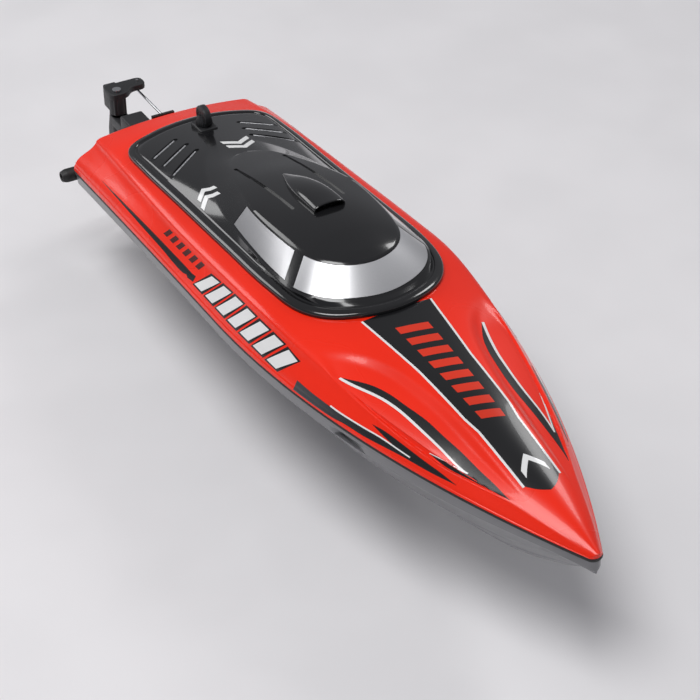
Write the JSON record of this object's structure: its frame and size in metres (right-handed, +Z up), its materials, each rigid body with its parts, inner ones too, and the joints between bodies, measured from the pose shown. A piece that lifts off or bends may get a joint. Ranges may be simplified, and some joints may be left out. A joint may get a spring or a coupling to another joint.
{
  "type": "rc boat",
  "caption": "Radio-controlled deep-vee racing boat with lift-off canopy, steering rudder, rod and servo, and a water-cooled motor driving a propeller.",
  "frame": {"origin": "centre of the flat keel pad, on the underside of the hull", "axes": "+X towards the bow, +Y to port, +Z up"},
  "size_m": [0.47, 0.1353, 0.1277],
  "materials": {
    "hull_gray": "satin silver-gray ABS moulding",
    "deck_red": "glossy orange-red paint on ABS, printed graphics",
    "seal_rubber": "matt black rubber",
    "canopy_black": "gloss and satin black ABS",
    "glazing_silver": "brushed silver film on a plastic pane",
    "trim_black": "fine-grained black nylon",
    "steel": "brushed stainless steel",
    "bright_steel": "polished steel",
    "aluminium": "machined aluminium",
    "brass": "turned brass",
    "servo_blue": "moulded dark blue nylon",
    "arm_white": "moulded white nylon",
    "plywood": "thin birch plywood",
    "jacket_blue": "blue anodised aluminium",
    "hose_clear": "translucent silicone",
    "pack_blue": "blue heat-shrink sleeve",
    "strap_black": "woven hook-and-loop strap",
    "lead_red": "red silicone wire",
    "board_green": "green solder mask",
    "button_red": "gloss red plastic",
    "foam_white": "closed-cell foam"
  },
  "bodies": {
    "hull": {"lower_hull": "hull_gray", "deck_shell": "deck_red", "seam_gasket": "seal_rubber", "hatch_seal": "seal_rubber", "latch_keeper": "steel", "rudder_pin": "bright_steel", "rudder_bracket": "trim_black", "rudder_bracket_screws": "steel", "rod_boot": "seal_rubber", "servo_case": "servo_blue", "servo_screws": "steel", "servo_tray": "plywood", "stuffing_tube": "brass", "shaft_strut": "aluminium", "strut_screws": "steel", "motor_can": "steel", "motor_mount": "aluminium", "motor_screws": "steel", "cooling_jacket": "jacket_blue", "cooling_hose_in": "hose_clear", "cooling_hose_out": "hose_clear", "cooling_outlet": "seal_rubber", "water_pickup": "steel", "water_contacts": "bright_steel", "battery_pack": "pack_blue", "battery_tray": "trim_black", "battery_strap": "strap_black", "battery_lead": "lead_red", "board_case": "trim_black", "board_lid": "trim_black", "control_board": "board_green", "board_tray": "plywood", "power_switch_body": "trim_black", "bow_foam": "foam_white"},
    "canopy": {"canopy_shell": "canopy_black", "windscreen": "glazing_silver", "side_window_port": "glazing_silver", "side_window_starboard": "glazing_silver", "air_scoop": "canopy_black", "scoop_grille": "trim_black", "latch_base": "trim_black"},
    "latch": {"latch_knob": "trim_black", "latch_tongue": "steel", "latch_screw": "steel"},
    "rudder": {"rudder_blade": "trim_black"},
    "rod": {"steering_rod": "bright_steel"},
    "servo_arm": {"servo_arm": "arm_white", "servo_arm_screw": "steel"},
    "propeller": {"propeller": "trim_black", "drive_shaft": "bright_steel", "propeller_nut": "brass", "shaft_coupler": "aluminium", "motor_shaft": "bright_steel"},
    "switch_button": {"power_button": "button_red"}
  },
  "joints": [
    {"name": "canopy_lift", "type": "slide", "parent": "hull", "child": "canopy", "axis": [0, 0, 1], "range_m": [0, 0.06]},
    {"name": "latch_turn", "type": "hinge", "parent": "canopy", "child": "latch", "pos_m": [-0.101, 0, 0.08], "axis": [0, 0, 1], "range_deg": [0, 90]},
    {"name": "rudder_turn", "type": "hinge", "parent": "hull", "child": "rudder", "pos_m": [-0.181, -0.019, 0.04], "axis": [0, 0, 1], "range_deg": [-28, 28]},
    {"name": "rod_pivot", "type": "hinge", "parent": "rudder", "child": "rod", "pos_m": [-0.186, -0.0035, 0.0615], "axis": [0, 0, 1], "range_deg": [-28.5, 28.5]},
    {"name": "servo_turn", "type": "hinge", "parent": "hull", "child": "servo_arm", "pos_m": [-0.067, -0.019, 0.058], "axis": [0, 0, 1], "range_deg": [-28.5, 28.5]},
    {"name": "propeller_spin", "type": "hinge", "parent": "hull", "child": "propeller", "pos_m": [-0.171, 0, -0.005], "axis": [0.9889, 0, 0.1483], "continuous": true},
    {"name": "power_slide", "type": "slide", "parent": "hull", "child": "switch_button", "axis": [1, 0, 0], "range_m": [0, 0.003]}
  ],
  "couplings": [
    {"joint": "rod_pivot", "follows": "rudder_turn", "ratio": -1},
    {"joint": "servo_turn", "follows": "rudder_turn", "ratio": 1}
  ]
}
